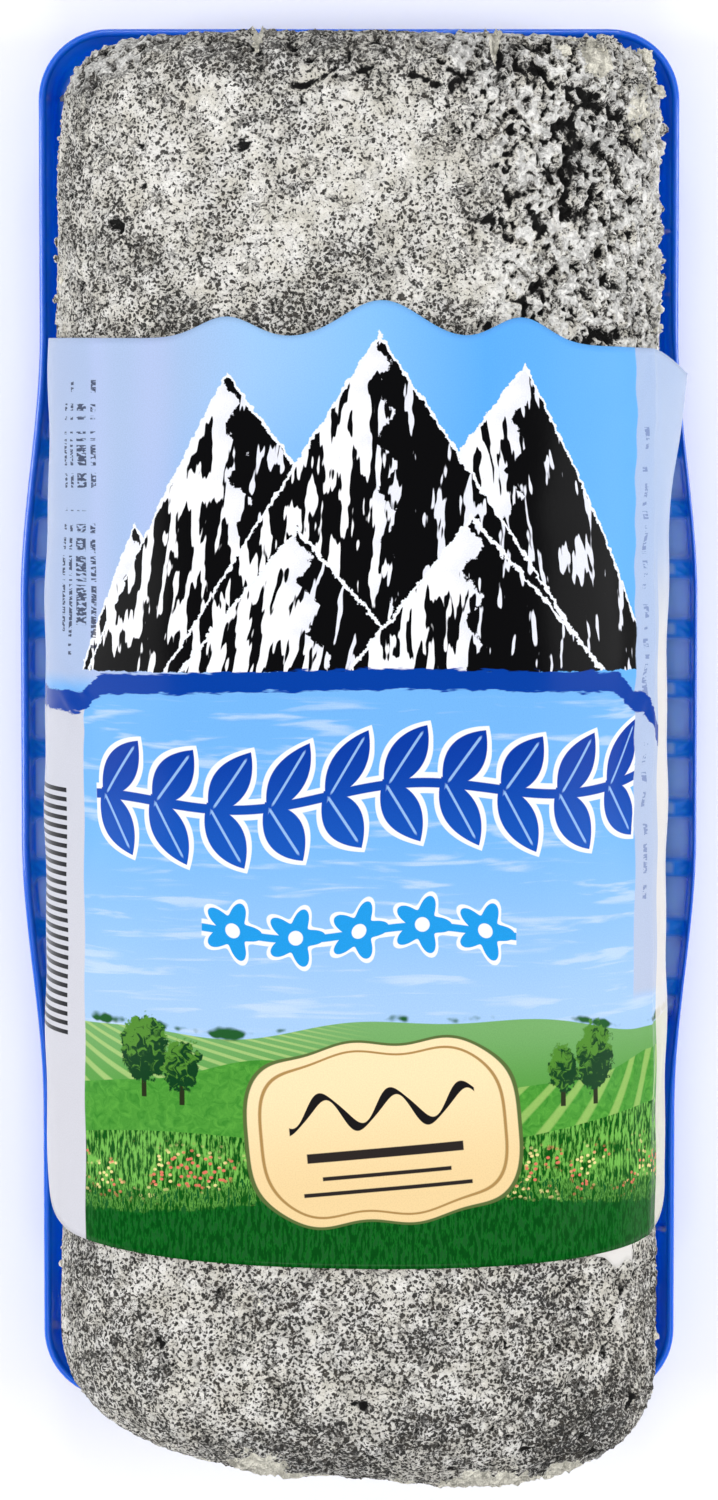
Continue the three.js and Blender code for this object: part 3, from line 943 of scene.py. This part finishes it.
def band_print(tree):
    """The print as one colour: sky with painted highlights, snowy peaks, a blue stripe, rows of leaves,
    fields and a bare plaque.
    """
    place = field(tree, "ShaderNodeUVMap", uv_map="print")
    parts = make(tree, "ShaderNodeSeparateXYZ", {0: place}).outputs
    s, y = ((Field(tree, part) - 0.5) * PRINT_SPAN for part in parts[:2])
    wobble = print_noise(s, y, 0.14, 3, 0.55) - 0.5
    rough = print_noise(s, y, 0.75, 3, 0.62) - 0.5
    sky = print_sky(s, y)
    colour = sky
    peaks = (
        ((-29.5, 30.0), (2.1, 1.5), -0.05),
        ((-17.0, 49.5), (1.9, 1.35), 0.12),
        ((21.5, 50.5), (1.3, 1.9), -0.1),
        ((2.6, 54.5), (1.55, 1.5), 0.06),
        ((-8.0, 29.5), (1.2, 1.15), 0.2),
        ((14.5, 31.0), (1.25, 1.1), 0.02),
    )
    for top, slopes, drift in peaks:
        colour = print_peak(colour, s, y, rough, top, slopes, drift)
    colour = tint(inside(y - rough * 0.8, 11.2), colour, sky)
    colour = print_leaves(colour, s, y)
    colour = print_fields(colour, s, y, rough, wobble)
    colour = print_plaque(colour, s, y)
    colour = print_margins(colour, s, y)
    dip = ramp(abs(s), 34.5, 39.5) * 2.6 + ramp(s, 40.5, 47.0) * 5.0
    middle = y - 9.9 + dip - wave(s, 90.0, 1.2) * 0.5
    brush = print_noise(s * 0.35, y * 2.0, 0.9, 2, 0.6) - 0.5
    stripe = inside(abs(middle) + brush * 1.2, 1.35, 0.25)
    colour = tint(stripe * within(s, -57.0, 46.6), colour, rgb(0, 62, 164))
    edge_strip = within(s, 46.2, 70.5) * ramp(y, 30, 12)
    colour = tint(edge_strip * 0.8, colour, rgb(238, 232, 222))
    grain = print_noise(s, y, 5.5, 2, 0.6)
    return tint(ramp(grain, 0.7, 0.3, 0.1, 0.17), colour, rgb(0, 0, 0))


def band_materials():
    """The printed face of the paper, and its plain back."""
    front, tree, at = new_material("printed paper")
    paper = noise(at, 1500, 2, 0.6) * 0.15 + noise(at, 45, 2, 0.5) * 4.0
    shade(front, {
        "Base Color": band_print(tree),
        "Roughness": 0.24,
        "Specular IOR Level": 0.04,
        "Normal": bump(paper, 0.5, 0.00012),
    })
    back, tree, at = new_material("paper back")
    fibres = tint(noise(at, 900, 3, 0.6), rgb(226, 224, 218), rgb(244, 243, 240))
    return front, shade(back, {"Base Color": fibres, "Roughness": 0.75})


class CHEESE_OT_band(bpy.types.Operator):
    """Builds the thin printed paper band over the log."""

    bl_idname = "cheese.make_band"
    bl_label = "Printed band"

    def execute(self, context):
        s = context.scene.printed_band
        columns, rows = 191, 133
        across = np.linspace(-s.reach_left, s.reach_right, columns)
        near, far = band_near_edge(s, across), band_far_edge(s, across)
        grid_s = np.repeat(across[:, None], rows, axis=1).reshape(-1)
        grid_y = (near[:, None] + (far - near)[:, None] * np.linspace(0, 1, rows)).reshape(-1)
        points = band_surface(s, grid_s, grid_y)

        flap_columns, flap_rows = 24, 10
        flap_s = np.repeat(np.linspace(32.0, 39.2, flap_columns), flap_rows)
        tip = band_near_edge(s, flap_s) - 2.1 * ease(32, 35.5, flap_s) + 0.3 * np.sin(flap_s * 1.7)
        flap = band_surface(s, flap_s, tip + 8 * np.tile(np.linspace(0, 1, flap_rows), flap_columns))
        flap[:, 2] -= 0.22

        faces = np.array(ring_faces(columns, rows, closed=False))
        flap_faces = np.array(ring_faces(flap_columns, flap_rows, closed=False)) + len(points)
        faces = np.concatenate([faces, flap_faces])[:, ::-1].tolist()
        mesh = mesh_from("band", np.concatenate([points, flap]), faces)
        corner = np.zeros(len(mesh.loops), dtype=np.int32)
        mesh.loops.foreach_get("vertex_index", corner)
        pale = np.full((len(flap), 2), (58.0, -20.0))
        spots = np.concatenate([np.stack([grid_s, grid_y], axis=1), pale]) / PRINT_SPAN + 0.5
        layer = mesh.uv_layers.new(name="print")
        layer.data.foreach_set("uv", spots[corner].astype(np.float32).reshape(-1))
        for material in band_materials():
            mesh.materials.append(material)
        piece = link_new("band", mesh)
        shell = piece.modifiers.new("paper", "SOLIDIFY")
        shell.thickness = s.thickness * MM
        shell.offset = 1
        shell.material_offset = 1
        shell.material_offset_rim = 1
        make_plain(piece)
        finish_piece(piece, "band", "printed_band")
        return {"FINISHED"}


# The tray


def tray_outline(s):
    """The rim's outline as points that run anticlockwise, dense beside the ribs."""
    half_width, half_length, radius = s.end_width / 2, s.length / 2, s.corner
    rib_zone = s.ribs * s.pitch / 2 + 3
    core_x, core_y = half_width - radius, half_length - radius
    outer = np.linspace(rib_zone, core_y, 24)
    side = np.concatenate([-outer[:0:-1], np.arange(-rib_zone, rib_zone, 0.3), outer])
    across = np.linspace(-core_x, core_x, 26)
    turn = np.linspace(0, math.pi / 2, 17)[1:-1]
    cosine, sine = radius * np.cos(turn), radius * np.sin(turn)
    parts = (
        (half_width, side),
        (core_x + cosine, core_y + sine),
        (across[::-1], half_length),
        (-core_x - sine, core_y + cosine),
        (-half_width, side[::-1]),
        (-core_x - cosine, -core_y - sine),
        (across, -half_length),
        (core_x + sine, -core_y - cosine),
    )
    return np.concatenate([np.stack(np.broadcast_arrays(x, y), axis=1) for x, y in parts])


def draw_in(outline, s, inset):
    """The outline with every side moved in by inset, which may differ from point to point."""
    core = np.array((s.end_width, s.length)) / 2 - s.corner
    arm = outline - np.clip(outline, -core, core)
    unit = arm / np.maximum(1e-9, np.linalg.norm(arm, axis=1))[:, None]
    moved = outline - unit * np.minimum(inset, s.corner)[:, None]
    extra = np.maximum(0, inset - s.corner)[:, None]
    return moved * (core - extra) / core


def swell(y, s):
    extra = (s.middle_width - s.end_width) / s.end_width
    return 1 + extra * ease(55, 17, np.abs(y))


def rib_strength(y, s, reach):
    """1 on a rib and 0 in the pockets between ribs, whose half length along the tray is reach."""
    zone = s.ribs * s.pitch / 2
    from_pocket = np.abs(((y + zone + s.pitch / 2) % s.pitch) - s.pitch / 2)
    return ease(reach - 0.4, reach + 0.45, from_pocket) * (np.abs(y) < zone - 0.6)


def tray_rings(s):
    """Rings from the middle of the underside, up the outside, over the rim and down to the floor's middle.

    With them come how much each point lies on a flat of a pocket or a rib, and which points are inside; the
    tray's colour paints light on both.
    """
    outline = tray_outline(s)
    x, y = outline.T
    zone = ease(s.ribs * s.pitch / 2 + 2.5, s.ribs * s.pitch / 2 - 1.5, np.abs(y))
    zone = zone * (np.abs(x) > s.end_width / 2 - 1)
    right = ease(0.3, 0.9, x / (s.end_width / 2)) * ease(62, 40, np.abs(y))
    lip, wall, pocket = 1.08, 0.84, s.pitch / 2 - 1.35

    def ring(inset, inward, z):
        inset_here = min(inset, lip) * (1 - 0.5 * right) + max(0, inset - lip - wall)
        inset_here += np.clip(inset - lip, 0, wall) * (1 - 0.7 * right)
        plan = draw_in(outline, s, inset_here + inward)
        return np.stack([plan[:, 0] * swell(plan[:, 1], s), plan[:, 1], z], axis=1)

    outside = [
        (38, 0), (20, 0), (12, 0), (8, 0), (6, 0), (4.8, 0), (4.2, 0), (3.3, 0.06), (2.6, 0.28), (2.1, 0.7),
        (1.8, 1.3), (1.62, 2.2), (1.5, 3.4), (1.36, 5.0), (1.2, 6.8), (1.05, 8.6), (0.9, 10.4), (0.78, 11.6),
        (0.66, 12.1), (0.5, 12.32), (0.2, 12.5), (0.02, 12.75), (0.0, 13.15), (0.03, 13.5), (0.14, 13.78),
        (0.32, 13.95), (0.52, 14.0), (0.74, 13.95), (0.92, 13.78), (1.03, 13.5), (1.08, 13.2),
    ]
    rings, flats = [], [np.zeros(len(outline))] * len(outside)
    rib = rib_strength(y, s, pocket + 0.35)
    for inset, z in outside:
        inward = rib * 1.1 * (1 - ease(3.0, 10.5, z)) * (inset < 4)
        up = rib * (2.1 * ease(2.2, 4.4, inset) + 0.6 * (inset < 4) * (z < 2))
        rings.append(ring(inset, inward, z + up))

    finger = rib_strength(y, s, pocket + 0.55)
    inner = [
        (1.11, 12.4, 12.4, 12.8), (1.15, 11.4, 11.6, 12.55), (1.19, 10.3, 10.9, 12.3),
        (1.24, 9.0, 10.2, 12.1), (1.3, 7.5, 9.6, 11.9), (1.37, 5.9, 9.15, 11.65),
        (1.46, 4.5, 8.85, 11.4), (1.57, 3.4, 8.7, 11.1),
        (1.72, 2.55, 8.62, 10.8), (1.92, 2.0, 8.55, 10.5), (2.15, 1.72, 8.5, 10.2), (2.4, 1.62, 8.45, 9.95),
        (2.7, 1.6, 8.4, 9.75), (3.1, 1.6, 8.3, 9.6), (3.6, 1.6, 8.15, 9.45), (4.2, 1.6, 7.85, 9.2),
        (5.0, 1.6, 7.1, 8.6), (6.0, 1.6, 5.7, 7.3), (8.0, 1.6, 3.0, 4.4), (12, 1.6, 1.6, 3.2),
        (20, 1.6, 1.6, 3.2), (30, 1.6, 1.6, 3.2), (38, 1.6, 1.6, 3.2),
    ]
    for inset, plain, low, high in inner:
        narrow = 1 - math.sqrt(1 - min(1, max(0, 2.6 - inset) / 1.2) ** 2)
        rib = rib_strength(y, s, pocket - narrow * 0.9)
        curl = 0.27 * np.sin(4.6 * np.abs(y) - 3.2 * inset) * rib
        curl = curl * ease(1.25, 1.5, inset) * ease(4.0, 2.6, inset)
        rings.append(ring(inset, 0, plain + (low - plain + (high - low) * rib + curl) * zone))
        flats.append((ease(1.5, 1.75, inset) * (1 - rib) + ease(3.7, 4.1, inset) * finger) * zone)
    # The inner rings are marked "wall" for the painted glow of the tray's inner side.
    inner_glow_rings = np.repeat([0, 1], [len(outside) * len(outline), len(inner) * len(outline)])
    hubs = (0, 0)
    return np.array(rings), {"flat": np.append(flats, hubs), "wall": np.append(inner_glow_rings, hubs)}


def tray_material(s):
    """Glossy blue sheet, with painted glow that lightens its inner side and painted pale light on the flats
    of the pockets and ribs.
    """
    material, tree, at = new_material("blue tray plastic")
    flat = attribute(tree, "flat")
    deep = tint(noise(at, 45, 3, 0.5), s.blue, rgb(2, 104, 228))
    # Painted glow: the inner rings get a lighter blue in place of light through the thin plastic.
    deep = tint(attribute(tree, "wall"), deep, rgb(10, 134, 255))
    # Painted light: the flats get a pale lavender in place of the light that they catch.
    painted_flat_light = tint(noise(at, 320, 2, 0.5), rgb(134, 176, 252), rgb(146, 184, 255))
    ripple = noise(at, 160, 2, 0.5) + noise(at, 700, 2, 0.5) * 0.12
    return shade(material, {
        "Base Color": tint(flat * 0.9, deep, painted_flat_light),
        "Roughness": ramp(flat, 0, 1, 0.12, 0.4),
        "Subsurface Weight": 0.3,
        "Subsurface Radius": (0.05, 0.15, 1.0),
        "Subsurface Scale": 0.0016,
        "Specular IOR Level": 0.7,
        "Normal": bump(ripple, 0.14, 0.0006),
    })


class CHEESE_OT_tray(bpy.types.Operator):
    """Builds the thin ribbed tray."""

    bl_idname = "cheese.make_tray"
    bl_label = "Tray"

    def execute(self, context):
        s = context.scene.cheese_tray
        rings, layers = tray_rings(s)
        points = with_hubs(rings)
        points[:, 1] += (tray_low.y + tray_high.y) / 2 / MM
        piece = ringed_piece("blue_tray", rings, points, layers)
        piece.data.materials.append(tray_material(s))
        finish_piece(piece, "tray", "tray")
        return {"FINISHED"}


# The studio


def soft_lamp(name, place, size, power):
    """A rectangular softbox that is turned towards the pack."""
    data = bpy.data.lights.new(name, "AREA")
    data.shape = "RECTANGLE"
    data.size, data.size_y = size
    data.energy = power
    lamp = link_new(name, data)
    lamp.location = place
    lamp.rotation_euler = (Vector(LAMP_TARGET) - Vector(place)).to_track_quat("-Z", "Y").to_euler()


class CHEESE_OT_studio(bpy.types.Operator):
    """Adds the pale floor, the soft lamps and the camera."""

    bl_idname = "cheese.make_studio"
    bl_label = "Studio"

    def execute(self, context):
        s = context.scene.cheese_studio
        scene = context.scene
        half, level = FLOOR_SIZE / 2, cad_low.z - FLOOR_GAP
        mesh = bpy.data.meshes.new("floor")
        corners = [(-half, -half, level), (half, -half, level), (half, half, level), (-half, half, level)]
        mesh.from_pydata(corners, [], [(0, 1, 2, 3)])
        material, *_ = new_material("pale floor")
        mesh.materials.append(shade(material, {"Base Color": (0.98, 0.98, 0.98, 1), "Roughness": 0.8}))
        link_new("floor", mesh)

        soft_lamp("left softbox", (-0.86, 0.0, 0.44), (0.3, 0.9), s.side_power)
        soft_lamp("right softbox", (0.86, 0.0, 0.44), (0.3, 0.9), s.side_power)
        soft_lamp("far softbox", (0.0, 1.0, 0.8), (0.5, 0.25), s.end_power * 0.85)
        soft_lamp("near softbox", (0.0, -1.0, 0.8), (0.5, 0.25), s.end_power)
        soft_lamp("top softbox", (0.0, 0.1, 1.3), (1.8, 1.8), s.top_power)

        world = bpy.data.worlds.new("studio")
        world.use_nodes = True
        sky = world.node_tree.nodes["Background"]
        sky.inputs["Color"].default_value = (1, 1, 1, 1)
        sky.inputs["Strength"].default_value = 0.16
        scene.world = world

        data = bpy.data.cameras.new("camera")
        data.sensor_fit = "VERTICAL"
        data.sensor_height = 36
        data.sensor_width = 36
        data.lens = s.lens
        data.clip_start = 0.01
        camera = link_new("camera", data)
        camera.location = (0, s.camera_y, s.camera_height)
        camera.rotation_euler = Euler((-s.camera_tilt, 0, 0))
        scene.camera = camera
        scene.view_settings.view_transform = "Standard"
        return {"FINISHED"}


class CHEESE_PT_panel(bpy.types.Panel):
    """Lists the steps that build the pack."""

    bl_idname = "CHEESE_PT_panel"
    bl_label = "Ash-coated cheese log"
    bl_space_type = "VIEW_3D"
    bl_region_type = "UI"
    bl_category = "Cheese"

    def draw(self, context):
        for step in STEPS:
            self.layout.operator(step.bl_idname)


SETTINGS = {
    "cheese_log": CheeseLogSettings,
    "printed_band": PrintedBandSettings,
    "cheese_tray": TraySettings,
    "cheese_studio": StudioSettings,
}
STEPS = (CHEESE_OT_log, CHEESE_OT_crumbs, CHEESE_OT_band, CHEESE_OT_tray, CHEESE_OT_studio)


def register():
    for kind in (*SETTINGS.values(), *STEPS, CHEESE_PT_panel):
        bpy.utils.register_class(kind)
    for name, kind in SETTINGS.items():
        setattr(bpy.types.Scene, name, bpy.props.PointerProperty(type=kind))


def unregister():
    for name in SETTINGS:
        delattr(bpy.types.Scene, name)
    for kind in reversed((*SETTINGS.values(), *STEPS, CHEESE_PT_panel)):
        bpy.utils.unregister_class(kind)


def main():
    register()
    bpy.ops.cheese.make_tray()
    bpy.ops.cheese.make_log()
    bpy.ops.cheese.make_crumbs()
    bpy.ops.cheese.make_band()
    bpy.ops.cheese.make_studio()


if __name__ == "__main__":
    main()
